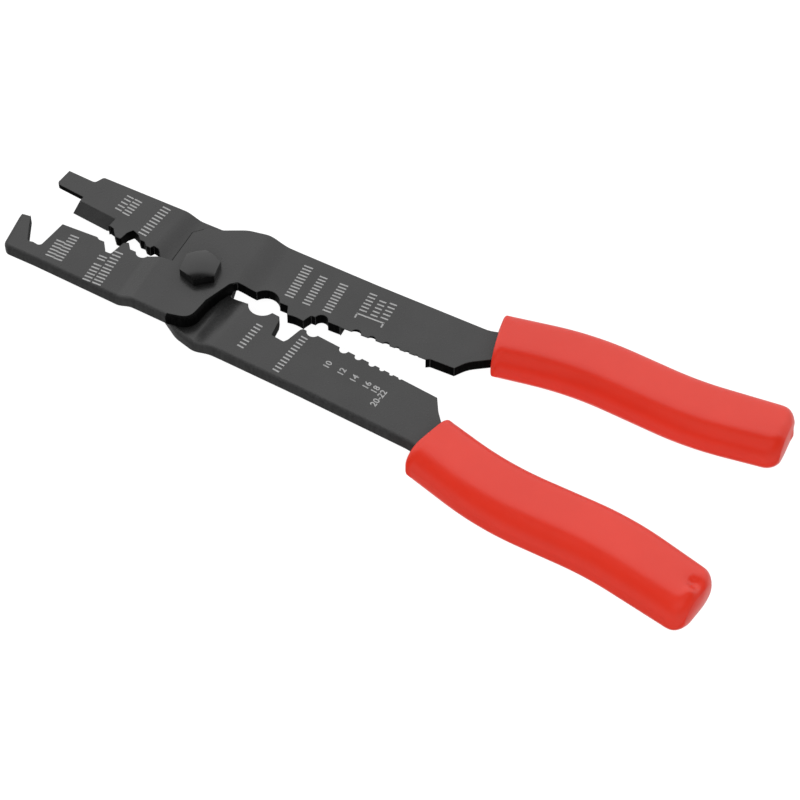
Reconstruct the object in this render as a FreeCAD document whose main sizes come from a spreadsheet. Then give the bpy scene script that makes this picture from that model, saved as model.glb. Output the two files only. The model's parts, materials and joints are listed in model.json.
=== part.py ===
import FreeCAD, Part
import math
import os
import Sketcher

# Wire stripper and crimper, in millimetres. The pivot axis is Z, through the origin; Z = 0 is the surface
# that the tool lies on, and +X runs towards the handles along the line on which the two levers close.
#
# Both levers are cut from mirrored blanks. Each is drawn in the blank's own frame, as if closed: its
# handle is on the +Y side, its jaw on the -Y side, and its working edges lie on Y = 0. The rear lever
# takes the same frame with Y and the direction of the joggle turned over.

FRONT = 1
REAR = -1

DIMENSIONS = {
    # the plates and the joggle that lets them cross at the pivot
    "plate_thickness": 4.0,
    "plate_top": 8.75,
    "crossing_gap": 0.05,
    "jaw_ramp_inner": 14.2,
    "jaw_ramp_outer": 17.8,
    "handle_ramp_inner": 12.5,
    "handle_ramp_outer": 18.0,
    "blank_height": 14.0,
    "cutter_reach": 260.0,
    "half_opening": 3.8,
    # corner radii of the plates
    "corner_fine": 0.5,
    "corner_small": 1.2,
    "corner_heel": 2.5,
    "corner_medium": 3.5,
    "corner_head": 5.0,
    "corner_broad": 10.0,
    "corner_shoulder": 18.0,
    # the bolt and its nut
    "shank_diameter": 6.35,
    "running_clearance": 0.05,
    "hexagon_across_flats": 11.1,
    "hexagon_turn": 43.6,
    "crown_height": 4.0,
    "crown_radius": 13.0,
    "shank_end": 0.3,
    # the knife, the tongue and the stripping edges
    "knife_edge": 0.2,
    "knife_bevel_width": 4.05,
    "knife_land": 0.1,
    "knife_start": -50.3,
    "knife_length": 14.8,
    "tongue_edge": -5.6,
    "tongue_wall": 1.9,
    "tongue_bevel_width": 2.5,
    "tongue_start": -60.5,
    "tongue_length": 11.1,
    "bevel_overrun": 1.0,
    "strip_near": 47.4,
    "strip_length": 28.1,
    "strip_edge": 0.05,
    "strip_wall": 0.3,
    "strip_bevel_width": 6.0,
    # the handle sleeves
    "grip_thickness": 13.5,
    "grip_curve": 100.0,
    "grip_end_corner": 5.5,
    "grip_edge_round": 4.2,
    "grip_mouth_inner": 93.8,
    "grip_mouth_outer": 90.5,
    "mouth_overrun": 3.0,
}

# Half-round notches for the wire sizes, on the closing line: place along X and radius.
STRIP_NOTCHES = {
    "notch_ten": (52.6, 1.5),
    "notch_twelve": (57.8, 1.2),
    "notch_fourteen": (62.6, 1.05),
    "notch_sixteen": (66.15, 0.8),
    "notch_eighteen": (69.5, 0.65),
    "notch_twenty": (72.55, 0.5),
}

# Crimping nests: centre and radius, in the blank's frame.
FRONT_NESTS = {
    "front_jaw_nest": (-20.3, 0.4, 2.3),
    "front_support_nest": (40.9, 0.0, 2.1),
    "front_handle_nest": (22.4, -0.9, 4.45),
}
REAR_NESTS = {
    "rear_support_nest": (41.1, -0.6, 2.1),
    "rear_handle_nest": (22.4, -0.9, 4.45),
}

# Outlines: name, X, Y and the radius that the corner is given, in the blank's frame.
HANDLE_BACK = [
    ("head_corner", -9.8, 12.8, "corner_small"),
    ("head_crest", -6.6, 15.8, "corner_medium"),
    ("head_nape", -1.3, 17.6, "corner_medium"),
    ("head_swell", 5.2, 20.8, "corner_broad"),
    ("handle_shoulder", 12.6, 22.0, "corner_shoulder"),
    ("handle_slope", 22.5, 21.3, "corner_broad"),
    ("handle_middle", 50.0, 19.85, None),
    ("handle_waist", 88.0, 18.45, "corner_broad"),
]
TANG = [
    ("tang_back_entry", 91.5, 19.4, None),
    ("tang_back_rise", 108.0, 24.0, None),
    ("tang_back_crest", 126.0, 25.0, None),
    ("tang_back_dip", 150.0, 23.6, None),
    ("tang_back_end", 172.0, 24.4, None),
    ("tang_belly_end", 172.0, 12.6, None),
    ("tang_belly_dip", 150.0, 12.2, None),
    ("tang_belly_crest", 126.0, 13.6, None),
    ("tang_belly_rise", 108.0, 12.4, None),
    ("tang_belly_entry", 93.0, 8.5, None),
]
FRONT_NECK = [
    ("front_neck_curve", 87.2, 4.6, "corner_broad"),
]
REAR_NECK = [
    ("rear_neck_curve", 88.7, 4.2, "corner_broad"),
]
HEAD_FRONT = [
    ("head_front_top", 11.4, 0.0, None),
    ("head_front_upper", 9.4, -5.1, None),
    ("head_front_lower", 8.0, -10.1, None),
    ("head_front_corner", 6.9, -18.6, "corner_head"),
    ("jaw_shoulder", -0.4, -20.3, "corner_head"),
    ("jaw_waist", -7.0, -19.8, "corner_broad"),
]

FRONT_JAW = [
    ("front_jaw_taper", -18.4, -19.0, None),
    ("hook_throat", -49.0, -16.5, None),
    ("hook_heel", -60.7, -15.9, "corner_heel"),
    ("hook_back", -62.2, -3.3, None),
    ("hook_tip_back", -62.2, -1.7, None),
    ("hook_tip_inner", -59.2, -1.4, None),
    ("slot_floor_far", -54.6, -11.1, "corner_small"),
    ("slot_cusp", -52.8, -10.7, None),
    ("slot_floor_near", -50.1, -11.2, "corner_small"),
    ("anvil_foot", -49.7, -9.0, None),
    ("anvil_far", -48.3, -0.5, None),
    ("anvil_near", -36.0, -0.4, None),
    ("relief_far", -35.0, -1.1, None),
    ("relief_near", -33.2, -1.1, None),
    ("vee_far", -31.0, -4.45, "corner_fine"),
    ("vee_near", -28.95, -4.5, "corner_fine"),
    ("front_tooth_foot", -27.6, 0.9, None),
    ("front_tooth_peak", -26.2, 1.9, "corner_fine"),
    ("front_tooth_back", -24.5, -0.35, None),
    ("front_jaw_land", -17.9, -0.7, None),
    ("front_jaw_root", -10.0, -0.2, None),
]
FRONT_HANDLE = [
    ("front_neck_toe", 84.6, 0.8, None),
    ("front_strip_step", 76.7, 0.8, None),
    ("front_strip_start", 75.5, 0.05, None),
    ("front_strip_end", 47.4, 0.05, None),
    ("front_support_far", 47.0, 0.25, None),
    ("front_support_near", 37.4, 0.3, None),
    ("male_side", 36.6, -1.5, None),
    ("male_tip_far", 36.2, -2.6, None),
    ("male_hollow", 33.2, -2.0, "corner_broad"),
    ("male_tip_near", 30.7, -2.5, None),
    ("male_foot", 29.4, 0.65, None),
    ("front_nest_land_far", 26.5, 0.7, None),
    ("front_nest_land_near", 18.5, 1.2, None),
    ("front_handle_root", 12.2, 0.8, None),
]
REAR_JAW = [
    ("rear_jaw_taper", -18.4, -18.7, None),
    ("tongue_step_top", -49.1, -15.8, "corner_small"),
    ("tongue_step_foot", -50.2, -12.6, "corner_small"),
    ("tongue_back_corner", -59.8, -12.1, None),
    ("tongue_tip_corner", -59.8, -5.6, "corner_small"),
    ("tongue_root", -49.4, -5.6, None),
    ("knife_far_corner", -49.1, 0.2, None),
    ("knife_near_corner", -35.7, 0.2, None),
    ("rear_relief_far", -35.2, -0.6, None),
    ("rear_relief_near", -33.4, -0.3, None),
    ("rear_tooth_start", -32.9, 0.4, None),
    ("rear_tooth_far", -31.0, 2.0, "corner_fine"),
    ("rear_tooth_near", -29.3, 1.9, "corner_fine"),
    ("rear_pocket_side", -29.05, -1.2, None),
    ("rear_pocket_floor", -28.0, -3.2, "corner_fine"),
    ("rear_pocket_back", -25.5, -2.4, None),
    ("rear_pocket_lip", -24.0, -1.1, None),
    ("rear_step_far", -22.4, -1.3, None),
    ("rear_land_far", -21.0, -0.2, None),
    ("rear_land_near", -19.5, -0.2, None),
    ("rear_dip_far", -19.0, -1.5, None),
    ("rear_dip_near", -17.2, -1.6, None),
    ("rear_root_start", -15.5, 0.0, None),
    ("rear_jaw_root", -10.0, 0.0, None),
]
REAR_HANDLE = [
    ("rear_neck_toe", 85.6, 0.05, None),
    ("rear_strip_end", 43.0, 0.05, None),
    ("rear_support_near", 38.0, 0.3, None),
    ("female_mouth_far", 37.4, 1.1, None),
    ("female_side_far", 36.5, 6.2, "corner_fine"),
    ("female_floor_far", 35.8, 7.5, "corner_fine"),
    ("female_floor_near", 31.4, 7.4, "corner_fine"),
    ("female_side_near", 30.2, 2.0, None),
    ("female_mouth_near", 29.3, 0.3, None),
    ("rear_nest_land_far", 26.5, 0.3, None),
    ("rear_nest_land_near", 17.8, 1.35, None),
    ("rear_handle_root", 12.2, 0.9, None),
]

# A sleeve's outline; its mouth is then cut on a slant. The rear sleeve reaches a little further back.
GRIP_BELLY = [
    ("grip_mouth_belly", 89.0, 5.2, None),
    ("grip_belly_swell", 117.0, 9.8, "grip_curve"),
    ("grip_belly_waist", 156.0, 6.6, "grip_curve"),
]
FRONT_GRIP_END = [
    ("front_grip_belly_end", 183.4, 10.3, "grip_end_corner"),
    ("front_grip_back_end", 182.9, 29.5, "grip_end_corner"),
]
REAR_GRIP_END = [
    ("rear_grip_belly_end", 186.0, 11.0, "grip_end_corner"),
    ("rear_grip_back_end", 185.1, 29.7, "grip_end_corner"),
]
GRIP_BACK = [
    ("grip_back_waist", 152.0, 26.9, "grip_curve"),
    ("grip_back_swell", 118.0, 29.7, "grip_curve"),
    ("grip_mouth_back", 89.0, 24.6, None),
]
OUTLINES = [
    HANDLE_BACK, TANG, FRONT_NECK, REAR_NECK, HEAD_FRONT, FRONT_JAW, FRONT_HANDLE, REAR_JAW, REAR_HANDLE,
    GRIP_BELLY, GRIP_BACK, FRONT_GRIP_END, REAR_GRIP_END,
]

TOLERANCE = 0.02

doc = FreeCAD.newDocument("wire_stripper")
sheet = doc.addObject("Spreadsheet::Sheet", "dimensions")


def fill_sheet(rows):
    """Write one named number on each row of the sheet."""
    for row, (name, value) in enumerate(rows, start=1):
        sheet.set("A%d" % row, name)
        sheet.set("B%d" % row, str(value))
        sheet.setAlias("B%d" % row, name)
    doc.recompute()


def sheet_rows():
    """List every driving dimension, then every named place."""
    rows = list(DIMENSIONS.items())
    for name, (x, radius) in STRIP_NOTCHES.items():
        rows += [(name + "_x", x), (name + "_y", 0.0), (name + "_radius", radius)]
    for name, (x, y, radius) in list(FRONT_NESTS.items()) + list(REAR_NESTS.items()):
        rows += [(name + "_x", x), (name + "_y", y), (name + "_radius", radius)]
    for points in OUTLINES:
        for name, x, y, _ in points:
            rows += [(name + "_x", x), (name + "_y", y)]
    return rows


def cell(name):
    """Give the expression that reads a named cell."""
    return "dimensions." + name


def signed(side, expression):
    """Turn an expression over for the rear lever."""
    return expression if side == FRONT else "-(%s)" % expression


def new_body(label):
    body = doc.addObject("PartDesign::Body", label)
    body.Label = label
    return body


def new_sketch(body, name, role):
    """Start a sketch on one of the body's own origin planes."""
    sketch = body.newObject("Sketcher::SketchObject", name)
    plane = [item for item in body.Origin.OriginFeatures if item.Role == role][0]
    sketch.AttachmentSupport = [(plane, "")]
    sketch.MapMode = "FlatFace"
    return sketch


def bind(sketch, kind, geometry, vertex, expression):
    """Hold one coordinate of a sketch point to an expression, measured from the origin."""
    value = float(sheet.evalExpression(expression))
    index = sketch.addConstraint(Sketcher.Constraint(kind, -1, 1, geometry, vertex, value))
    sketch.setExpression("Constraints[%d]" % index, expression)


def draw_polygon(sketch, corners):
    """Draw a closed outline whose corners are pairs of expressions."""
    places = [FreeCAD.Vector(sheet.evalExpression(x), sheet.evalExpression(y), 0) for x, y in corners]
    first = sketch.GeometryCount
    for start, end in zip(places, places[1:] + places[:1]):
        sketch.addGeometry(Part.LineSegment(start, end), False)
    for step, (x, y) in enumerate(corners):
        following = first + (step + 1) % len(corners)
        sketch.addConstraint(Sketcher.Constraint("Coincident", first + step, 2, following, 1))
        bind(sketch, "DistanceX", first + step, 1, x)
        bind(sketch, "DistanceY", first + step, 1, y)


def draw_circle(sketch, x, y, radius):
    """Draw a circle whose centre and radius are expressions."""
    centre = FreeCAD.Vector(sheet.evalExpression(x), sheet.evalExpression(y), 0)
    size = float(sheet.evalExpression(radius))
    index = sketch.addGeometry(Part.Circle(centre, FreeCAD.Vector(0, 0, 1), size), False)
    bind(sketch, "DistanceX", index, 3, x)
    bind(sketch, "DistanceY", index, 3, y)
    held = sketch.addConstraint(Sketcher.Constraint("Radius", index, size))
    sketch.setExpression("Constraints[%d]" % held, radius)


def cut_pocket(body, sketch, length, both_ways=True, reversed_way=False):
    """Cut a sketch out of a body and make sure that something was removed."""
    before = body.Shape.Volume
    pocket = body.newObject("PartDesign::Pocket", sketch.Name + "_pocket")
    pocket.Profile = sketch
    pocket.SideType = "Symmetric" if both_ways else "One side"
    pocket.Reversed = reversed_way
    pocket.setExpression("Length", length)
    sketch.Visibility = False
    doc.recompute()
    if body.Shape.Volume > before - TOLERANCE:
        raise RuntimeError(sketch.Name + " cuts nothing")


def round_corners(body, side, points):
    """Give the blank's upright corners their radii, one fillet for each size."""
    for size in sorted({radius for _, _, _, radius in points if radius}):
        base = body.Tip
        chosen = []
        for name, x, y, radius in points:
            if radius == size:
                chosen += upright_edges(base.Shape, x, side * y)
        fillet = body.newObject("PartDesign::Fillet", "%s_%s" % (body.Name, size))
        fillet.Base = (base, chosen)
        fillet.setExpression("Radius", cell(size))
        doc.recompute()


def upright_edges(shape, x, y):
    """Find the upright edges that stand at a place."""
    found = []
    for index, edge in enumerate(shape.Edges, start=1):
        ends = [vertex.Point for vertex in edge.Vertexes]
        if len(ends) == 2 and all(math.hypot(end.x - x, end.y - y) < TOLERANCE for end in ends):
            found.append("Edge%d" % index)
    return found


def raise_outline(body, side, points, height):
    """Raise a block from an outline on the resting surface, with its corners rounded."""
    sketch = new_sketch(body, body.Name + "_outline", "XY_Plane")
    draw_polygon(sketch, [(cell(name + "_x"), signed(side, cell(name + "_y"))) for name, _, _, _ in points])
    pad = body.newObject("PartDesign::Pad", body.Name + "_block")
    pad.Profile = sketch
    pad.setExpression("Length", height)
    sketch.Visibility = False
    doc.recompute()
    round_corners(body, side, points)


def cut_joggle(body, side):
    """Cut away what lies above and below the plate, which steps aside to cross its twin."""
    top = "dimensions.plate_top"
    step = signed(side, "(dimensions.plate_thickness + dimensions.crossing_gap) / 2")
    bends = [
        ("-dimensions.cutter_reach", "0"),
        ("-dimensions.jaw_ramp_outer", "0"),
        ("-dimensions.jaw_ramp_inner", step),
        ("dimensions.handle_ramp_inner", step),
        ("dimensions.handle_ramp_outer", "0"),
        ("dimensions.cutter_reach", "0"),
    ]
    upper = [(x, "%s + %s" % (top, rise)) for x, rise in bends]
    lower = [(x, "%s + %s - dimensions.plate_thickness" % (top, rise)) for x, rise in bends]
    ceiling = "dimensions.cutter_reach"
    above = upper + [(ceiling, ceiling), ("-" + ceiling, ceiling)]
    below = lower + [(ceiling, "-" + ceiling), ("-" + ceiling, "-" + ceiling)]
    for name, corners in (("above", above), ("below", below)):
        sketch = new_sketch(body, "%s_%s" % (body.Name, name), "XZ_Plane")
        draw_polygon(sketch, corners)
        cut_pocket(body, sketch, "dimensions.cutter_reach")


def cut_round_openings(body, side, nests):
    """Cut the pivot hole, the crimping nests and the stripping notches."""
    sketch = new_sketch(body, body.Name + "_openings", "XY_Plane")
    draw_circle(sketch, "0", "0", "dimensions.shank_diameter / 2 + dimensions.running_clearance")
    for name in list(nests) + list(STRIP_NOTCHES):
        draw_circle(sketch, cell(name + "_x"), signed(side, cell(name + "_y")), cell(name + "_radius"))
    cut_pocket(body, sketch, "dimensions.cutter_reach")


def cut_bevel(body, side, name, start, length, corners):
    """Grind a bevel along an edge that runs along X: a section in Y and Z, swept from a place."""
    sketch = new_sketch(body, "%s_%s" % (body.Name, name), "YZ_Plane")
    sketch.setExpression("AttachmentOffset.Base.z", start)
    draw_polygon(sketch, [(signed(side, y), z) for y, z in corners])
    cut_pocket(body, sketch, length, both_ways=False, reversed_way=True)


def bevel_section(edge, width, edge_height, face_height, past_face, past_edge):
    """Give the section cut off between an edge's wall and the place, a width away, that stays full."""
    return [
        (edge, edge_height),
        ("%s + %s" % (edge, width), face_height),
        ("%s + %s" % (edge, width), past_face),
        ("%s + %s" % (edge, past_edge), past_face),
        ("%s + %s" % (edge, past_edge), edge_height),
    ]


PLATE_TOP = "dimensions.plate_top"
PLATE_FLOOR = "(dimensions.plate_top - dimensions.plate_thickness)"
ABOVE_PLATE = "(dimensions.plate_top + dimensions.bevel_overrun)"
BELOW_PLATE = "(dimensions.plate_top - dimensions.plate_thickness - dimensions.bevel_overrun)"


def grind_strip_edge(body, side):
    """Thin the stripping edge from below."""
    section = bevel_section(
        "dimensions.strip_edge",
        "dimensions.strip_bevel_width",
        "dimensions.plate_top - dimensions.strip_wall",
        PLATE_FLOOR,
        BELOW_PLATE,
        "(-dimensions.bevel_overrun)",
    )
    cut_bevel(body, side, "strip_bevel", "dimensions.strip_near", "dimensions.strip_length", section)


def grind_tongue(body, side):
    """Thin the tongue's inner edge from below."""
    section = bevel_section(
        "dimensions.tongue_edge",
        "(-dimensions.tongue_bevel_width)",
        "dimensions.plate_top - dimensions.tongue_wall",
        PLATE_FLOOR,
        BELOW_PLATE,
        "dimensions.bevel_overrun",
    )
    cut_bevel(body, side, "tongue_bevel", "dimensions.tongue_start", "dimensions.tongue_length", section)


def grind_knife(body, side):
    """Grind the knife from both faces down to a narrow land in the middle of the plate."""
    middle = "dimensions.plate_top - dimensions.plate_thickness / 2"
    faces = {
        "knife_top": (middle + " + dimensions.knife_land / 2", PLATE_TOP, ABOVE_PLATE),
        "knife_under": (middle + " - dimensions.knife_land / 2", PLATE_FLOOR, BELOW_PLATE),
    }
    for name, (edge_height, face_height, past_face) in faces.items():
        section = bevel_section(
            "dimensions.knife_edge",
            "(-dimensions.knife_bevel_width)",
            edge_height,
            face_height,
            past_face,
            "dimensions.bevel_overrun",
        )
        cut_bevel(body, side, name, "dimensions.knife_start", "dimensions.knife_length", section)


def open_out(body, side):
    """Turn a piece about the pivot, from the closed position to the rest position."""
    body.setExpression("Placement.Rotation.Angle", signed(side, "dimensions.half_opening"))


def make_front_lever():
    """Make the lever with the hooked jaw, which rises over the pivot."""
    body = new_body("front_lever")
    outline = FRONT_JAW + HANDLE_BACK + TANG + FRONT_NECK + FRONT_HANDLE + HEAD_FRONT
    raise_outline(body, FRONT, outline, "dimensions.blank_height")
    cut_joggle(body, FRONT)
    cut_round_openings(body, FRONT, FRONT_NESTS)
    grind_strip_edge(body, FRONT)
    open_out(body, FRONT)
    return body


def make_rear_lever():
    """Make the lever with the knife and the tongue, which dips under the pivot."""
    body = new_body("rear_lever")
    outline = REAR_JAW + HANDLE_BACK + TANG + REAR_NECK + REAR_HANDLE + HEAD_FRONT
    raise_outline(body, REAR, outline, "dimensions.blank_height")
    cut_joggle(body, REAR)
    cut_round_openings(body, REAR, REAR_NESTS)
    grind_strip_edge(body, REAR)
    grind_tongue(body, REAR)
    grind_knife(body, REAR)
    open_out(body, REAR)
    return body


def round_grip(body):
    """Round the sleeve's edges, all round its top and its underside."""
    base = body.Tip
    mouth = sheet.evalExpression("dimensions.grip_mouth_belly_x")
    rims = []
    for index, edge in enumerate(base.Shape.Edges, start=1):
        box = edge.BoundBox
        if box.ZLength < TOLERANCE and box.XMax > mouth + TOLERANCE:
            rims.append("Edge%d" % index)
    rounding = body.newObject("PartDesign::Fillet", body.Name + "_rims")
    rounding.Base = (base, rims)
    rounding.setExpression("Radius", "dimensions.grip_edge_round")
    doc.recompute()


def cut_mouth(body, side):
    """Cut the sleeve's open end on a slant."""
    sketch = new_sketch(body, body.Name + "_mouth", "XY_Plane")
    reach = "dimensions.cutter_reach"
    inner, outer = "dimensions.grip_mouth_inner", "dimensions.grip_mouth_outer"
    low, high = cell("grip_mouth_belly_y"), cell("grip_mouth_back_y")
    slope = "(%s - %s) / (%s - %s)" % (outer, inner, high, low)
    overrun = "dimensions.mouth_overrun"
    corners = [
        ("0", "%s - %s" % (low, overrun)),
        ("%s - %s * %s" % (inner, overrun, slope), "%s - %s" % (low, overrun)),
        ("%s + %s * %s" % (outer, overrun, slope), "%s + %s" % (high, overrun)),
        ("0", "%s + %s" % (high, overrun)),
    ]
    draw_polygon(sketch, [(x, signed(side, y)) for x, y in corners])
    cut_pocket(body, sketch, reach)


def cut_tang_socket(body, side):
    """Cut the socket that the lever's tang fills."""
    sketch = new_sketch(body, body.Name + "_socket", "XY_Plane")
    middle = "dimensions.plate_top - dimensions.plate_thickness / 2"
    sketch.setExpression("AttachmentOffset.Base.z", middle)
    draw_polygon(sketch, [(cell(name + "_x"), signed(side, cell(name + "_y"))) for name, _, _, _ in TANG])
    cut_pocket(body, sketch, "dimensions.plate_thickness")


def make_grip(label, side, end):
    """Make a handle sleeve, which follows its lever's tang."""
    body = new_body(label)
    raise_outline(body, side, GRIP_BELLY + end + GRIP_BACK, "dimensions.grip_thickness")
    round_grip(body)
    cut_mouth(body, side)
    cut_tang_socket(body, side)
    open_out(body, side)
    return body


def add_hexagon(name, height):
    """Make a hexagonal prism of the bolt's and the nut's width across its flats."""
    prism = doc.addObject("Part::Prism", name)
    prism.Polygon = 6
    prism.setExpression("Circumradius", "dimensions.hexagon_across_flats / sqrt(3)")
    prism.setExpression("Height", height)
    return prism


def combine(kind, label, base, tool):
    """Join, cut or intersect two objects."""
    result = doc.addObject(kind, label)
    result.Base = base
    result.Tool = tool
    return result


def make_pivot_bolt():
    """Make the bolt: a plain shank under a hexagon head with a domed crown."""
    seat = "dimensions.plate_top + (dimensions.plate_thickness + dimensions.crossing_gap) / 2"
    hexagon = add_hexagon("bolt_hexagon", "dimensions.crown_height")
    hexagon.setExpression("Placement.Base.z", seat)
    hexagon.setExpression("Placement.Rotation.Angle", "dimensions.hexagon_turn")
    crown = doc.addObject("Part::Sphere", "bolt_crown")
    crown.setExpression("Radius", "dimensions.crown_radius")
    crown.setExpression("Placement.Base.z", seat + " + dimensions.crown_height - dimensions.crown_radius")
    head = combine("Part::Common", "bolt_head", hexagon, crown)
    shank = doc.addObject("Part::Cylinder", "bolt_shank")
    shank.setExpression("Radius", "dimensions.shank_diameter / 2")
    shank.setExpression("Height", seat + " - dimensions.shank_end")
    shank.setExpression("Placement.Base.z", "dimensions.shank_end")
    bolt = combine("Part::Fuse", "pivot_bolt", head, shank)
    bolt.Label = "pivot_bolt"
    return bolt


def make_pivot_nut():
    """Make the nut, chamfered underneath, with a bore that the shank fills."""
    height = "dimensions.plate_top - dimensions.plate_thickness * 3 / 2 - dimensions.crossing_gap * 3 / 2"
    hexagon = add_hexagon("nut_hexagon", height)
    hexagon.setExpression("Placement.Rotation.Angle", "dimensions.hexagon_turn")
    chamfer = doc.addObject("Part::Cone", "nut_chamfer_cone")
    chamfer.setExpression("Radius1", "dimensions.hexagon_across_flats / 2")
    chamfer.setExpression("Radius2", "dimensions.hexagon_across_flats / 2 + (%s) * sqrt(3)" % height)
    chamfer.setExpression("Height", height)
    blank = combine("Part::Common", "nut_blank", hexagon, chamfer)
    bore = doc.addObject("Part::Cylinder", "nut_bore")
    bore.setExpression("Radius", "dimensions.shank_diameter / 2")
    bore.setExpression("Height", height)
    nut = combine("Part::Cut", "pivot_nut", blank, bore)
    nut.Label = "pivot_nut"
    return nut


def check_document(pieces):
    """Stop if any object failed to build or any piece is not a sound solid."""
    for item in doc.Objects:
        if "Invalid" in item.State or "Error" in item.State:
            raise RuntimeError("%s did not build: %s" % (item.Name, item.State))
    for piece in pieces:
        if piece.Shape.isNull() or not piece.Shape.isValid() or len(piece.Shape.Solids) != 1:
            raise RuntimeError(piece.Label + " is not one sound solid")


fill_sheet(sheet_rows())
pieces = [
    make_front_lever(),
    make_rear_lever(),
    make_grip("front_grip", FRONT, FRONT_GRIP_END),
    make_grip("rear_grip", REAR, REAR_GRIP_END),
    make_pivot_bolt(),
    make_pivot_nut(),
]
doc.recompute()
check_document(pieces)
os.makedirs("parts", exist_ok=True)
for piece in pieces:
    piece.Shape.exportStep("parts/%s.step" % piece.Label)
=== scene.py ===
import json
import math

import bmesh
import bpy
from mathutils import Matrix, Vector
from mathutils.bvhtree import BVHTree


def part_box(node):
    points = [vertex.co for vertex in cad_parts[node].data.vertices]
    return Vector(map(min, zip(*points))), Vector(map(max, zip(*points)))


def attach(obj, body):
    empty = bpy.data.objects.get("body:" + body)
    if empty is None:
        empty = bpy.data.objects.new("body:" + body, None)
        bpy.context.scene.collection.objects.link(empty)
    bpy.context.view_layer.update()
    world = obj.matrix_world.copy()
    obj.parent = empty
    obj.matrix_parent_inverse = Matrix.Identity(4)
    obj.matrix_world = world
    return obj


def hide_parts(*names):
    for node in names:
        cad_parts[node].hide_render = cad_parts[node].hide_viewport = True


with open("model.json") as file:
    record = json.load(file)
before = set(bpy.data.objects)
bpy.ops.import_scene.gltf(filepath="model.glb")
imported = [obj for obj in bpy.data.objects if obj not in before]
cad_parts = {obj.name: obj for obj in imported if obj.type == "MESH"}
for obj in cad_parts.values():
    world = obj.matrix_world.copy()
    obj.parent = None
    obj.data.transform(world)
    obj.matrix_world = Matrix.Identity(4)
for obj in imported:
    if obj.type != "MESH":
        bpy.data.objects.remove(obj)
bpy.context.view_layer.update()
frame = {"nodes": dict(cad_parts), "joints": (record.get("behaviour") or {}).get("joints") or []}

MM = 0.001
FRONT, REAR = 1, -1
SIDES = {"front": FRONT, "rear": REAR}

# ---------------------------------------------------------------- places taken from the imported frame

hinge = frame["joints"][0]
HALF_OPENING = math.radians(-hinge["range_deg"][0] / 2)
PLATE_THICKNESS = 4.0 * MM
PLATE_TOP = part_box("front_lever")[0].z + PLATE_THICKNESS
PLATE_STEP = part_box("front_lever")[1].z - PLATE_TOP

# Ramps by which a plate steps aside to cross its twin: start and end along X, in the closed frame.
RAMPS = [(-14.2 * MM, -17.8 * MM), (12.5 * MM, 18.0 * MM)]

# How far the soft bend runs past each end of a ramp, near the bolt and away from it, and the number
# of cuts before, along and after the ramp.
RAMP_EASE_NEAR = 1.2 * MM
RAMP_EASE_FAR = 1.6 * MM
RAMP_STEPS = (2, 7, 3)


def closed_to_rest(side):
    """Turn a point of the closed, straightened tool to where a half lies at rest."""
    return Matrix.Rotation(side * HALF_OPENING, 4, "Z")


# ---------------------------------------------------------------- node helpers


class Nodes:
    """A short way to add and join shader nodes."""

    def __init__(self, tree):
        self.tree = tree
        self.tree.nodes.clear()

    def add(self, kind, **settings):
        node = self.tree.nodes.new(kind)
        for name, value in settings.items():
            if name in node.inputs:
                node.inputs[name].default_value = value
            else:
                setattr(node, name, value)
        return node

    def join(self, source, output, target, entry):
        self.tree.links.new(source.outputs[output], target.inputs[entry])

    def noise(self, scale, detail, stretch=(1, 1, 1)):
        """Add a noise texture in the object's own coordinates, in metres."""
        place = self.add("ShaderNodeTexCoord")
        mapping = self.add("ShaderNodeMapping")
        mapping.inputs["Scale"].default_value = stretch
        texture = self.add("ShaderNodeTexNoise", Scale=scale, Detail=detail)
        self.join(place, "Object", mapping, "Vector")
        self.join(mapping, "Vector", texture, "Vector")
        return texture

    def ramp(self, source, output, stops):
        """Map a value to greys or colours."""
        ramp = self.add("ShaderNodeValToRGB")
        while len(ramp.color_ramp.elements) < len(stops):
            ramp.color_ramp.elements.new(0.5)
        for element, (place, colour) in zip(ramp.color_ramp.elements, stops):
            element.position = place
            element.color = (*colour, 1)
        self.join(source, output, ramp, "Fac")
        return ramp

    def spread(self, source, output, low, high):
        """Map 0..1 to a range."""
        node = self.add("ShaderNodeMapRange")
        node.inputs["To Min"].default_value = low
        node.inputs["To Max"].default_value = high
        self.join(source, output, node, "Value")
        return node

    def smooth_range(self, source, output, limits):
        """Map one range to another with soft ends: from low, from high, to low, to high."""
        node = self.add("ShaderNodeMapRange", interpolation_type="SMOOTHSTEP")
        for entry, value in zip(("From Min", "From Max", "To Min", "To Max"), limits):
            node.inputs[entry].default_value = value
        self.join(source, output, node, "Value")
        return node


def grey(value):
    return (value, value, value)


def new_material(name):
    material = bpy.data.materials.new(name)
    material.use_nodes = True
    nodes = Nodes(material.node_tree)
    shader = nodes.add("ShaderNodeBsdfPrincipled")
    output = nodes.add("ShaderNodeOutputMaterial")
    nodes.join(shader, "BSDF", output, "Surface")
    return material, nodes, shader


def add_bump(nodes, shader, texture, distance, strength):
    bump = nodes.add("ShaderNodeBump", Distance=distance, Strength=strength)
    nodes.join(texture, "Fac", bump, "Height")
    nodes.join(bump, "Normal", shader, "Normal")


# ---------------------------------------------------------------- materials


def black_plate_material():
    """Blackened sheet steel: nearly black, with a fine satin grain that reflects softly, and painted shade
    that darkens its colour in corners and beside raised edges.
    """
    material, nodes, shader = new_material("black_plate")
    cloud = nodes.noise(scale=90, detail=4)
    tone = nodes.ramp(cloud, "Fac", [(0.3, grey(0.024)), (0.7, grey(0.031))])
    # painted shade: ambient occlusion darkens the plate's colour in corners and beside raised edges
    corners = nodes.add("ShaderNodeAmbientOcclusion", Distance=5 * MM)
    corners.samples = 8
    nodes.join(tone, "Color", corners, "Color")
    nodes.join(corners, "Color", shader, "Base Color")
    gloss = nodes.spread(nodes.noise(scale=400, detail=6), "Fac", 0.22, 0.32)
    nodes.join(gloss, "Result", shader, "Roughness")
    shader.inputs["IOR"].default_value = 1.5
    add_bump(nodes, shader, nodes.noise(scale=5200, detail=3), 0.01 * MM, 0.15)
    return material


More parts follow.
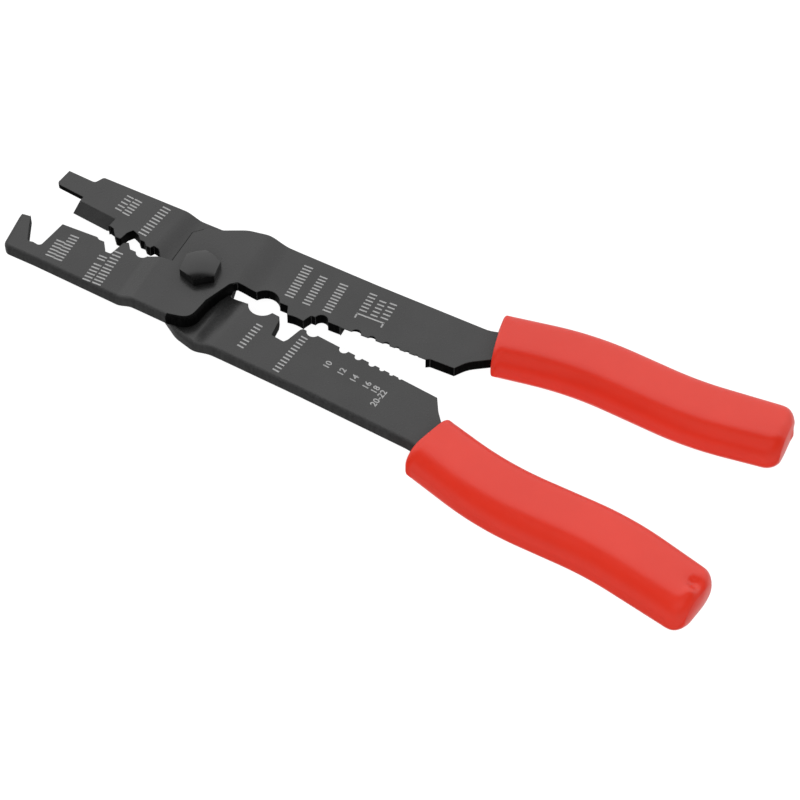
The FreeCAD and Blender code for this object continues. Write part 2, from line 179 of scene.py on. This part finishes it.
def blanked_wall_material():
    """The sheared outer edge of a plate: blackened, with fine upright drag marks."""
    material, nodes, shader = new_material("blanked_wall")
    drag = nodes.noise(scale=1500, detail=4, stretch=(1, 1, 0.06))
    tone = nodes.ramp(drag, "Fac", [(0.35, grey(0.030)), (0.7, grey(0.044))])
    nodes.join(tone, "Color", shader, "Base Color")
    gloss = nodes.spread(drag, "Fac", 0.5, 0.62)
    nodes.join(gloss, "Result", shader, "Roughness")
    shader.inputs["IOR"].default_value = 1.5
    add_bump(nodes, shader, drag, 0.03 * MM, 0.35)
    return material


def shaded_wall_material():
    """The walls of the jaws, nests and notches: near-black and hardly reflecting, a darker copy of the wall
    finish that paints shade on walls turned away from the light.
    """
    material, nodes, shader = new_material("working_wall_painted_shade")
    drag = nodes.noise(scale=1800, detail=4, stretch=(1, 1, 0.06))
    # painted shade: base colour far darker than the blanked wall, with a low IOR so the wall hardly reflects
    tone = nodes.ramp(drag, "Fac", [(0.35, grey(0.0015)), (0.7, grey(0.004))])
    nodes.join(tone, "Color", shader, "Base Color")
    gloss = nodes.spread(drag, "Fac", 0.55, 0.75)
    nodes.join(gloss, "Result", shader, "Roughness")
    shader.inputs["IOR"].default_value = 1.15
    add_bump(nodes, shader, drag, 0.02 * MM, 0.3)
    return material


def black_bolt_material():
    """Blackened fastener: a little glossier than the plates."""
    material, nodes, shader = new_material("black_bolt")
    cloud = nodes.noise(scale=260, detail=4)
    tone = nodes.ramp(cloud, "Fac", [(0.3, grey(0.004)), (0.7, grey(0.008))])
    nodes.join(tone, "Color", shader, "Base Color")
    gloss = nodes.spread(nodes.noise(scale=900, detail=5), "Fac", 0.16, 0.26)
    nodes.join(gloss, "Result", shader, "Roughness")
    shader.inputs["IOR"].default_value = 1.58
    add_bump(nodes, shader, nodes.noise(scale=3600, detail=3), 0.012 * MM, 0.3)
    return material


def red_sleeve_material():
    """Moulded soft plastic: saturated red with a low orange-peel surface."""
    material, nodes, shader = new_material("red_sleeve")
    cloud = nodes.noise(scale=45, detail=3)
    tone = nodes.ramp(cloud, "Fac", [(0.3, (0.77, 0.034, 0.016)), (0.7, (0.82, 0.040, 0.020))])
    nodes.join(tone, "Color", shader, "Base Color")
    gloss = nodes.spread(nodes.noise(scale=500, detail=5), "Fac", 0.26, 0.36)
    nodes.join(gloss, "Result", shader, "Roughness")
    shader.inputs["IOR"].default_value = 1.5
    shader.inputs["Subsurface Weight"].default_value = 0.12
    shader.inputs["Subsurface Radius"].default_value = (1.0, 0.25, 0.15)
    shader.inputs["Subsurface Scale"].default_value = 1.2 * MM
    add_bump(nodes, shader, nodes.noise(scale=1300, detail=2), 0.02 * MM, 0.25)
    return material


def ink_material():
    """Pad-printed grey-white ink, a little thin in places."""
    material, nodes, shader = new_material("printed_ink")
    wear = nodes.noise(scale=2600, detail=5)
    tone = nodes.ramp(wear, "Fac", [(0.3, grey(0.30)), (0.6, grey(0.46))])
    nodes.join(tone, "Color", shader, "Base Color")
    shader.inputs["Roughness"].default_value = 0.55
    return material


def floor_material():
    """A plain white studio sweep."""
    material, nodes, shader = new_material("studio_floor")
    shader.inputs["Base Color"].default_value = (0.2, 0.2, 0.2, 1)
    shader.inputs["Roughness"].default_value = 1.0
    shader.inputs["Specular IOR Level"].default_value = 0.0
    shader.inputs["Emission Color"].default_value = (1, 1, 1, 1)
    shader.inputs["Emission Strength"].default_value = 0.95
    return material


PLATE = black_plate_material()
BLANKED = blanked_wall_material()
SHADED_WALL_FINISH = shaded_wall_material()
BOLT = black_bolt_material()
SLEEVE = red_sleeve_material()
INK = ink_material()

# ---------------------------------------------------------------- pieces


def add_piece(name, mesh, body, materials):
    """Make an object from a mesh, in the row frame, riding on a body."""
    piece = bpy.data.objects.new(name, mesh)
    bpy.context.scene.collection.objects.link(piece)
    for material in materials:
        mesh.materials.append(material)
    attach(piece, body)
    return piece


def clean_copy(node):
    """Copy a CAD node's mesh with its seams closed and its flat faces joined up."""
    work = bmesh.new()
    work.from_mesh(frame["nodes"][node].data)
    bmesh.ops.remove_doubles(work, verts=work.verts, dist=0.0005 * MM)
    bmesh.ops.dissolve_limit(work, angle_limit=math.radians(0.3), verts=work.verts, edges=work.edges)
    return work


def weight_edges(work, rule):
    """Store how strongly each edge is rounded, from a rule that reads the edge."""
    layer = work.edges.layers.float.new("bevel_weight_edge")
    for edge in work.edges:
        if len(edge.link_faces) == 2 and edge.calc_face_angle() > math.radians(24):
            edge[layer] = rule(edge)


def round_edges(piece, width, segments, material=-1):
    """Round the weighted edges of a piece and shade it smoothly."""
    bevel = piece.modifiers.new("rounded_edges", "BEVEL")
    bevel.limit_method = "WEIGHT"
    bevel.width = width
    bevel.segments = segments
    bevel.use_clamp_overlap = False
    bevel.material = material
    smooth = piece.modifiers.new("weighted_normals", "WEIGHTED_NORMAL")
    smooth.keep_sharp = True


def settle(piece):
    """Make the modifiers of a piece part of its mesh."""
    graph = bpy.context.evaluated_depsgraph_get()
    piece.data = bpy.data.meshes.new_from_object(piece.evaluated_get(graph))
    piece.modifiers.clear()


# How long the pieces are that a lever is cut into, and the stretches left whole, because the outline
# turns across the tool there and a cut beside such an edge would fold its rounding.
STRIP_LENGTH = 5.3 * MM
UNCUT = [(-62.5 * MM, -57.0 * MM), (-51.5 * MM, -47.5 * MM), (-22.0 * MM, -7.0 * MM),
         (4.5 * MM, 22.0 * MM)]
SHORTEST_EDGE = 0.05 * MM

# Rounding of the edges: the full width, and the shares of it for the upper edge of the -Y side and
# the head's front, of the +Y side and the head's step, for the lower edge, and for working edges.
ROLL_WIDTH = 1.2 * MM
NEAR_ROLL = 1.0
FAR_ROLL = 0.3
UNDER_ROLL = 0.4
WORKING_BREAK = 0.1

# Where along X the head's front and its short step lie, how far off the middle line the step starts,
# how much room the front leaves round the bolt, and where a lever's outer contour starts.
HEAD_FRONT = (-1.0 * MM, 11.0 * MM)
HEAD_STEP = (-12.0 * MM, -7.9 * MM)
STEP_OFFSET = 2.5 * MM
BOLT_ROOM = 5.0 * MM
OUTER_Y = 11.5 * MM
JAW_END = -60.0 * MM

# Slots of a lever's wall materials. Slot 0 is the flat of the plate; the darker wall slot carries painted
# shade.
OUTER_WALL, SHADED_WALL_SLOT = 1, 2

# How level or upright a face is, from the height of its normal.
LEVEL, UPRIGHT, WALL = 0.85, 0.3, 0.5


def is_outer(place):
    """Tell the outer contour of a closed lever from its working edges."""
    return abs(place.y) > OUTER_Y or place.x < JAW_END


def is_head_front(place, side):
    """Tell the front of the head, which lies over the other lever."""
    beyond_bolt = place.xy.length > BOLT_ROOM
    return HEAD_FRONT[0] < place.x < HEAD_FRONT[1] and side * place.y < 0 and beyond_bolt


def is_head_step(place, side):
    """Tell the short side of the head, which lies over the other lever's ramp."""
    return HEAD_STEP[0] < place.x < HEAD_STEP[1] and side * place.y > STEP_OFFSET


def lever_weight(edge, side):
    """Share of the full rounding for an edge: most on the outer contour, least on working edges."""
    middle = (edge.verts[0].co + edge.verts[1].co) / 2
    flatness = sorted(abs(face.normal.z) for face in edge.link_faces)
    if is_head_step(middle, side):
        return FAR_ROLL
    rolled = is_outer(middle) or is_head_front(middle, side)
    if rolled and flatness[0] < UPRIGHT and flatness[1] > LEVEL:
        upper = max(face.normal.z for face in edge.link_faces) > LEVEL
        if not upper:
            return UNDER_ROLL
        return FAR_ROLL if middle.y > 0 and is_outer(middle) else NEAR_ROLL
    return WORKING_BREAK


def cut_across(work, x):
    """Divide every face that crosses one station."""
    geometry = work.verts[:] + work.edges[:] + work.faces[:]
    bmesh.ops.bisect_plane(work, geom=geometry, dist=0.02 * MM, plane_co=(x, 0, 0), plane_no=(1, 0, 0))


def divide_evenly(work):
    """Divide a lever into short lengths, so that each of its faces has a simple shape."""
    low = min(vertex.co.x for vertex in work.verts)
    high = max(vertex.co.x for vertex in work.verts)
    count = round((high - low) / STRIP_LENGTH)
    for step in range(1, count):
        place = low + (high - low) * step / count
        if not any(first < place < last for first, last in UNCUT):
            cut_across(work, place)


def soften_ramps(work, side):
    """Turn the straight joggle ramps into the smooth double bend of pressed plate."""
    for start, end in RAMPS:
        away = math.copysign(1, end)
        first, last = start - away * RAMP_EASE_NEAR, end + away * RAMP_EASE_FAR
        for (low, high), steps in zip([(first, start), (start, end), (end, last)], RAMP_STEPS):
            for step in range(steps):
                cut_across(work, low + (high - low) * step / steps)
        cut_across(work, last)
        for vertex in work.verts:
            straight = min(1, max(0, (vertex.co.x - start) / (end - start)))
            share = min(1, max(0, (vertex.co.x - first) / (last - first)))
            if 0 < share < 1:
                eased = share * share * (3 - 2 * share)
                vertex.co.z += side * (straight - eased) * PLATE_STEP


def make_lever(name):
    """Dress a lever: soft joggle, rolled outer edges, and working walls and head front in a near-black finish
    that paints shade.
    """
    side = SIDES[name]
    work = clean_copy(name + "_lever")
    bmesh.ops.transform(work, matrix=closed_to_rest(-side), verts=work.verts)
    divide_evenly(work)
    soften_ramps(work, side)
    bmesh.ops.remove_doubles(work, verts=work.verts, dist=SHORTEST_EDGE)
    weight_edges(work, lambda edge: lever_weight(edge, side))
    for face in work.faces:
        face.smooth = True
        if abs(face.normal.z) < WALL:
            outer = is_outer(face.calc_center_median())
            # walls off the outer contour take the darker finish: painted shade
            face.material_index = OUTER_WALL if outer else SHADED_WALL_SLOT
    bmesh.ops.transform(work, matrix=closed_to_rest(side), verts=work.verts)
    mesh = bpy.data.meshes.new(name + "_plate")
    work.to_mesh(mesh)
    work.free()
    piece = add_piece(name + "_plate", mesh, name + "_half", [PLATE, BLANKED, SHADED_WALL_FINISH])
    round_edges(piece, ROLL_WIDTH, 4, material=OUTER_WALL)
    settle(piece)
    turn = closed_to_rest(-side)
    for face in piece.data.polygons:
        place = turn @ face.center
        on_head = is_head_front(place, side) or is_head_step(place, side)
        # painted shadow: the head's front and step walls over the other lever take the darker finish,
        # standing in for the shadow band beneath the head
        if face.material_index == OUTER_WALL and on_head:
            face.material_index = SHADED_WALL_SLOT
    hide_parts(name + "_lever")


def make_fastener(node, name, width):
    """Dress the bolt or the nut: broken edges, none below the CAD, and a satin black finish."""
    work = clean_copy(node)
    weight_edges(work, lambda edge: 1.0)
    for face in work.faces:
        face.smooth = True
    mesh = bpy.data.meshes.new(name)
    work.to_mesh(mesh)
    work.free()
    piece = add_piece(name, mesh, "front_half", [BOLT])
    lowest = min(vertex.co.z for vertex in mesh.vertices)
    round_edges(piece, width, 3)
    settle(piece)
    for vertex in piece.data.vertices:
        vertex.co.z = max(vertex.co.z, lowest)
    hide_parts(node)


for lever in SIDES:
    make_lever(lever)
make_fastener("pivot_bolt", "domed_bolt", 0.07 * MM)
make_fastener("pivot_nut", "thin_nut", 0.15 * MM)

# ---------------------------------------------------------------- handle sleeves

SLEEVE_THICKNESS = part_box("front_grip")[1].z
SLEEVE_CROWN = 0.4 * MM

# How much the mouth and the end slant, and how far along the sleeve the slant fades out.
MOUTH_SLANT = 3.3 * MM
SLANT_FADE = 22 * MM
END_SLANT = {"front": 0.5 * MM, "rear": 0.9 * MM}
END_FADE = 10 * MM

# The rounded end: radius of its rim, height of its dome, the stretch with closer stations, and the
# sizes of the rings that close it.
RIM_ROUND = 4.2 * MM
END_DOME = 0.6 * MM
END_CURVE = 5.5 * MM
CAP_SHARES = [0.9, 0.78, 0.66, 0.54, 0.42, 0.3, 0.18, 0.08]

# The socket round the tang, and the lip of the mouth.
SOCKET_GAP = 0.04 * MM
LIP_ROUND = 0.7 * MM

STATION_STEP = 2.0 * MM
SOCKET_STEPS, LIP_STEPS, END_STEPS = 24, 4, 14

# Corner radii of each sleeve's section: inner bottom, outer bottom, outer top, inner top.
SECTION_RADII = {
    "front": [6.6 * MM, 4.4 * MM, 4.6 * MM, 6.6 * MM],
    "rear": [6.8 * MM, 4.4 * MM, 6.6 * MM, 4.2 * MM],
}
CORNER_STEPS = 8
FLAT_STEPS = 10

# Marks that the dipping leaves at a sleeve's end: place in the closed frame (X, distance from the
# middle line, height), spread, and how far the surface moves along which direction.
DIP_MARKS = {
    "front": [
        ((182.6, 22.4, 7.0), 1.5, 0.55, (1, 0, 0)),
        ((180.2, 20.0, 13.0), 1.6, 0.15, (0, 0, 1)),
    ],
    "rear": [
        ((181.8, 18.2, 13.2), 1.9, 1.3, (-0.3, 0, -1)),
        ((182.0, 21.6, 12.8), 1.6, 0.7, (0.5, 0, 1)),
    ],
}


def closed_tree(node, side):
    """A ray-casting tree of a CAD node, turned to the closed frame with the handle on the +Y side."""
    work = clean_copy(node)
    turn = Matrix.Diagonal((1, side, 1, 1)) @ closed_to_rest(-side)
    bmesh.ops.transform(work, matrix=turn, verts=work.verts)
    spread = [vertex.co.x for vertex in work.verts]
    tree = BVHTree.FromBMesh(work)
    work.free()
    return tree, min(spread), max(spread)


def wall_at(tree, x, height, outer):
    """Where the inner or the outer wall of a node stands at one station."""
    start = Vector((x, 60 * MM if outer else -60 * MM, height))
    hit = tree.ray_cast(start, Vector((0, -1 if outer else 1, 0)))[0]
    return hit.y if hit else None


def rounded_section(inner, outer, bottom, top, radii, crown):
    """Points round a section from (inner, bottom), anticlockwise, with its own radius at each corner."""
    limit = min(outer - inner, top - bottom) / 2 * 0.96
    radii = [min(radius, limit) for radius in radii]
    corners = [(inner, bottom), (outer, bottom), (outer, top), (inner, top)]
    inward = [(1, 1), (-1, 1), (-1, -1), (1, -1)]
    points = []
    for index, ((v, z), (dv, dz), radius) in enumerate(zip(corners, inward, radii)):
        start = math.pi * (1 + index / 2)
        for step in range(CORNER_STEPS + 1):
            angle = start + math.pi / 2 * step / CORNER_STEPS
            points.append(
                (v + dv * radius + radius * math.cos(angle), z + dz * radius + radius * math.sin(angle))
            )
        following = (index + 1) % 4
        (v2, z2), (dv2, dz2), radius2 = corners[following], inward[following], radii[following]
        first = points[-1]
        angle = start + math.pi / 2
        last = (
            v2 + dv2 * radius2 + radius2 * math.cos(angle),
            z2 + dz2 * radius2 + radius2 * math.sin(angle),
        )
        for step in range(1, FLAT_STEPS):
            share = step / FLAT_STEPS
            points.append(
                (first[0] + (last[0] - first[0]) * share, first[1] + (last[1] - first[1]) * share)
            )
    middle, half = (inner + outer) / 2, (outer - inner) / 2
    return [
        (v, z - crown * ((v - middle) / half) ** 2 * (z - bottom) / (top - bottom)) for v, z in points
    ]


def stations(start, end, rounding):
    """Stations along a sleeve: even, then closer together round its end."""
    even = max(2, round((end - rounding - start) / STATION_STEP))
    places = [start + (end - rounding - start) * step / even for step in range(even)]
    for step in range(END_STEPS):
        places.append(end - rounding * (1 - math.sin(math.pi / 2 * step / END_STEPS)))
    return places


def ring_points(section, places):
    """Give each (v, z) of a section its X, from the stations of the inner and outer walls."""
    vs = [v for v, z in section]
    low, high = min(vs), max(vs)
    x_inner, x_outer = places
    return [Vector((x_inner + (x_outer - x_inner) * (v - low) / (high - low), v, z)) for v, z in section]


def sleeve_rings(name, side):
    """The rings of a sleeve from deep in its socket out over the lip, and a maker of the others."""
    grip, mouth, end = closed_tree(name + "_grip", side)
    lever = closed_tree(name + "_lever", side)
    tang, tang_end = lever[0], lever[2]
    middle = PLATE_TOP - PLATE_THICKNESS / 2
    radii = SECTION_RADII[name]
    rings = []

    def tang_ring(x, gap, swell):
        """One ring of the socket, round the tang."""
        slant = MOUTH_SLANT * max(0, 1 - (x - mouth) / SLANT_FADE)
        places = (x + slant, x)
        inner = wall_at(tang, min(places[0], tang_end - 0.3 * MM), middle, False) - gap
        outer = wall_at(tang, min(places[1], tang_end - 0.3 * MM), middle, True) + gap
        low, high = PLATE_TOP - PLATE_THICKNESS - gap, PLATE_TOP + gap
        section = rounded_section(inner, outer, low, high, [0.3 * MM + swell] * 4, 0)
        return ring_points(section, places)

    socket_end = tang_end + 0.5 * MM
    for step in range(SOCKET_STEPS + 1):
        x = socket_end + (mouth + LIP_ROUND - socket_end) * step / SOCKET_STEPS
        rings.append(tang_ring(x, SOCKET_GAP, 0))
    rings.append(tang_ring(mouth + 0.2 * MM, SOCKET_GAP + 0.15 * MM, 0.1 * MM))
    rings.append(tang_ring(mouth, SOCKET_GAP + 0.5 * MM, 0.4 * MM))

    def body_ring(x, shrink):
        """One ring of the outer surface."""
        slant = MOUTH_SLANT * max(0, 1 - (x - mouth) / SLANT_FADE)
        short = END_SLANT[name] * max(0, 1 - (end - x) / END_FADE)
        places = (x + slant, x - short)
        edge = 0.3 * MM
        inner = wall_at(grip, min(max(places[0], mouth + MOUTH_SLANT + edge), end - 0.02 * MM), middle, False)
        outer = wall_at(grip, min(max(places[1], mouth + edge), end - 0.02 * MM), middle, True)
        left = end - x
        inset = 0
        if left < RIM_ROUND:
            inset = RIM_ROUND - math.sqrt(max(0, RIM_ROUND**2 - (RIM_ROUND - left) ** 2))
        inset += shrink
        section = rounded_section(
            inner + shrink, outer - shrink, inset, SLEEVE_THICKNESS - inset, radii, SLEEVE_CROWN
        )
        return ring_points(section, places)

    for step in reversed(range(LIP_STEPS)):
        angle = math.pi / 2 * step / LIP_STEPS
        rings.append(
            body_ring(mouth + LIP_ROUND * (1 - math.sin(angle)), LIP_ROUND * (1 - math.cos(angle)))
        )
    return rings, body_ring, mouth, end


def end_cap(rings, end):
    """Close a sleeve with shrinking rings on a low dome."""
    last = rings[-1]
    centre = sum(last, Vector()) / len(last)
    for share in CAP_SHARES:
        rise = END_DOME * (1 - share * share)
        rings.append([centre + (point - centre) * share + Vector((rise, 0, 0)) for point in last])
    return centre + Vector((END_DOME, 0, 0))


def make_sleeve(name):
    """Build a dip-moulded sleeve: socket, lip, soft body with a low crown, and rounded end."""
    side = SIDES[name]
    rings, body_ring, mouth, end = sleeve_rings(name, side)
    for x in stations(mouth + LIP_ROUND, end - END_DOME, END_CURVE):
        rings.append(body_ring(x, 0))
    rings.append(body_ring(end - END_DOME, 0))
    tip = end_cap(rings, end)
    work = bmesh.new()
    rows = [[work.verts.new(point) for point in ring] for ring in rings]
    for row, following in zip(rows, rows[1:]):
        for index in range(len(row)):
            after = (index + 1) % len(row)
            work.faces.new((row[index], row[after], following[after], following[index]))
    work.faces.new(rows[0][::-1])
    peak = work.verts.new(tip)
    for index in range(len(rows[-1])):
        work.faces.new((rows[-1][index], rows[-1][(index + 1) % len(rows[-1])], peak))
    for place, spread, amount, direction in DIP_MARKS[name]:
        centre = Vector(place) * MM
        push = Vector(direction).normalized() * amount * MM
        for vertex in work.verts:
            distance = (vertex.co - centre).length / (spread * MM)
            if distance < 3:
                vertex.co += push * math.exp(-distance * distance)
    turn = closed_to_rest(side) @ Matrix.Diagonal((1, side, 1, 1))
    bmesh.ops.transform(work, matrix=turn, verts=work.verts)
    bmesh.ops.recalc_face_normals(work, faces=work.faces)
    for face in work.faces:
        face.smooth = True
    mesh = bpy.data.meshes.new(name + "_sleeve")
    work.to_mesh(mesh)
    work.free()
    piece = add_piece(name + "_sleeve", mesh, name + "_half", [SLEEVE])
    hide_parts(name + "_grip")


for lever in SIDES:
    make_sleeve(lever)

# ---------------------------------------------------------------- printed marks

INK_THICKNESS = 0.03 * MM
INK_LIFT = 0.004 * MM

# Rows of printed strokes in the closed frame, in millimetres: the middle of the row, the height of
# the strokes along X and the run of the row along Y.
STROKE_ROWS = {
    "front": [
        (-45.2, -10.2, 3.0, 7.0),
        (-42.3, -8.5, 3.0, 10.7),
        (-30.3, -13.6, 2.7, 7.2),
        (-30.4, -7.3, 2.7, 1.7),
        (-26.8, -14.3, 3.0, 5.8),
        (-26.9, -6.8, 3.0, 7.7),
        (28.0, 10.6, 3.0, 13.3),
        (34.0, 9.5, 2.6, 12.0),
        (40.9, 9.6, 2.8, 11.9),
        (50.6, 12.3, 2.5, 7.5),
        (54.4, 11.5, 2.3, 6.5),
        (57.7, 11.9, 2.4, 6.6),
    ],
    "rear": [
        (-37.1, 10.5, 2.5, 6.6),
        (-34.0, 10.4, 2.7, 6.9),
        (-24.8, 9.7, 3.0, 13.0),
        (26.3, -11.3, 2.3, 10.2),
        (40.3, -10.4, 2.3, 15.3),
    ],
}
STROKE_PITCH = 1.25
STROKE_WIDTH = 0.5

# The bracket beside the stripping notches: a long bar with a tick at each end.
BRACKET_BARS = [(53.9, 7.1, 9.3, 0.5), (49.5, 6.2, 0.5, 1.8), (58.3, 6.2, 0.5, 1.8)]

# Wire gauges: the figures and the middle of each in the closed frame.
GAUGES = [
    ("10", 51.9, -7.6),
    ("12", 56.9, -7.5),
    ("14", 61.4, -7.6),
    ("16", 65.9, -7.6),
    ("18", 68.9, -7.6),
    ("20-22", 71.5, -9.7),
]
FIGURE_HEIGHT = 2.0


def add_bar(work, x, y, height, run):
    """Add a thin printed block to a mesh, in the closed frame."""
    place = Matrix.Translation(Vector((x * MM, y * MM, PLATE_TOP + INK_LIFT + INK_THICKNESS / 2)))
    size = Matrix.Diagonal((height * MM, run * MM, INK_THICKNESS, 1))
    bmesh.ops.create_cube(work, size=1, matrix=place @ size)


def add_strokes(work, row):
    """Add a row of plain strokes, like graduations."""
    x, y, height, run = row
    count = max(2, round(run / STROKE_PITCH))
    for index in range(count):
        along = y - run / 2 + STROKE_WIDTH / 2 + (run - STROKE_WIDTH) * index / (count - 1)
        add_bar(work, x, along, height, STROKE_WIDTH)


def add_figures(work, text, x, y):
    """Add the figures of a wire gauge, reading along +Y."""
    curve = bpy.data.curves.new("figures", "FONT")
    curve.body = text
    curve.size = FIGURE_HEIGHT * MM / 0.7
    curve.align_x = "CENTER"
    curve.align_y = "CENTER"
    curve.extrude = INK_THICKNESS / 2
    curve.offset = 0.05 * MM
    curve.resolution_u = 4
    source = bpy.data.objects.new("figures", curve)
    mesh = bpy.data.meshes.new_from_object(source)
    place = Matrix.Translation(Vector((x * MM, y * MM, PLATE_TOP + INK_LIFT + INK_THICKNESS / 2)))
    mesh.transform(place @ Matrix.Rotation(math.pi / 2, 4, "Z"))
    work.from_mesh(mesh)
    bpy.data.objects.remove(source)
    bpy.data.curves.remove(curve)
    bpy.data.meshes.remove(mesh)


def make_marks(name):
    """Print a lever: rows of strokes, and the bracket or the wire gauges."""
    side = SIDES[name]
    work = bmesh.new()
    for row in STROKE_ROWS[name]:
        add_strokes(work, row)
    if side == FRONT:
        for bar in BRACKET_BARS:
            add_bar(work, *bar)
    else:
        for gauge in GAUGES:
            add_figures(work, *gauge)
    bmesh.ops.transform(work, matrix=closed_to_rest(side), verts=work.verts)
    mesh = bpy.data.meshes.new(name + "_print")
    work.to_mesh(mesh)
    work.free()
    add_piece(name + "_print", mesh, name + "_half", [INK])


for lever in SIDES:
    make_marks(lever)

# ---------------------------------------------------------------- floor, light and camera


def make_floor():
    size = 6.0
    work = bmesh.new()
    bmesh.ops.create_grid(work, x_segments=1, y_segments=1, size=size)
    mesh = bpy.data.meshes.new("floor")
    work.to_mesh(mesh)
    work.free()
    mesh.materials.append(floor_material())
    floor = bpy.data.objects.new("floor", mesh)
    bpy.context.scene.collection.objects.link(floor)
    floor.visible_glossy = False


def aim(thing, target):
    direction = Vector(target) - thing.location
    thing.rotation_mode = "QUATERNION"
    thing.rotation_quaternion = direction.to_track_quat("-Z", "Y")


CAMERA_TARGET = Vector((0.07632, -0.01180, 0.00860))
CAMERA_AZIMUTH = math.radians(29.7)
CAMERA_ELEVATION = math.radians(52.1)
CAMERA_DISTANCE = 0.780
LENS = 119.9

# How bright the studio is, from the camera's side round to the back: facing from, to, and brightness.
WINDOW_RANGE = (-0.02, 0.22, 0.0, 1.65)

# How the studio dims towards the floor: height of the direction from, to, and share of its brightness.
HEIGHT_RANGE = (-0.1, 0.7, 0.55, 1.0)


def around(azimuth, elevation, distance):
    """A point round the target: azimuth 0 is on the -Y side, and 90 degrees is on the +X side."""
    flat = math.cos(elevation)
    offset = Vector((math.sin(azimuth) * flat, -math.cos(azimuth) * flat, math.sin(elevation)))
    return CAMERA_TARGET + offset * distance


def add_area_light(name, azimuth, elevation, distance, size, radiance):
    """A rectangular soft light that faces the object."""
    light = bpy.data.lights.new(name, "AREA")
    light.shape = "RECTANGLE"
    light.size, light.size_y = size
    light.energy = radiance * math.pi * size[0] * size[1]
    holder = bpy.data.objects.new(name, light)
    bpy.context.scene.collection.objects.link(holder)
    holder.location = around(math.radians(azimuth), math.radians(elevation), distance)
    aim(holder, CAMERA_TARGET)
    return holder


def make_camera():
    camera = bpy.data.cameras.new("camera")
    camera.lens = LENS
    camera.sensor_width = 36
    holder = bpy.data.objects.new("camera", camera)
    bpy.context.scene.collection.objects.link(holder)
    holder.location = around(CAMERA_AZIMUTH, CAMERA_ELEVATION, CAMERA_DISTANCE)
    aim(holder, CAMERA_TARGET)
    bpy.context.scene.camera = holder


def make_world():
    """A studio that is bright behind the object and dark over the camera, with a pale backdrop."""
    world = bpy.data.worlds.new("studio")
    world.use_nodes = True
    bpy.context.scene.world = world
    nodes = Nodes(world.node_tree)
    place = nodes.add("ShaderNodeTexCoord")
    facing = nodes.add("ShaderNodeVectorMath", operation="DOT_PRODUCT")
    facing.inputs[1].default_value = (-math.sin(CAMERA_AZIMUTH), math.cos(CAMERA_AZIMUTH), 0)
    nodes.join(place, "Generated", facing, 0)
    wall = nodes.smooth_range(facing, "Value", WINDOW_RANGE)
    height = nodes.add("ShaderNodeSeparateXYZ")
    nodes.join(place, "Generated", height, "Vector")
    dimming = nodes.smooth_range(height, "Z", HEIGHT_RANGE)
    strength = nodes.add("ShaderNodeMath", operation="MULTIPLY")
    nodes.join(wall, "Result", strength, 0)
    nodes.join(dimming, "Result", strength, 1)
    studio = nodes.add("ShaderNodeBackground")
    nodes.join(strength, "Value", studio, "Strength")
    backdrop = nodes.add("ShaderNodeBackground", Strength=1.0)
    backdrop.inputs["Color"].default_value = (*grey(0.9), 1)
    path = nodes.add("ShaderNodeLightPath")
    mix = nodes.add("ShaderNodeMixShader")
    output = nodes.add("ShaderNodeOutputWorld")
    nodes.join(path, "Is Camera Ray", mix, 0)
    nodes.join(studio, "Background", mix, 1)
    nodes.join(backdrop, "Background", mix, 2)
    nodes.join(mix, "Shader", output, "Surface")


make_floor()
make_world()
fill = add_area_light("fill", 25, 45, 1.5, (1.5, 1.5), 2.3)
fill.visible_glossy = False
make_camera()
bpy.context.scene.view_settings.view_transform = "Standard"
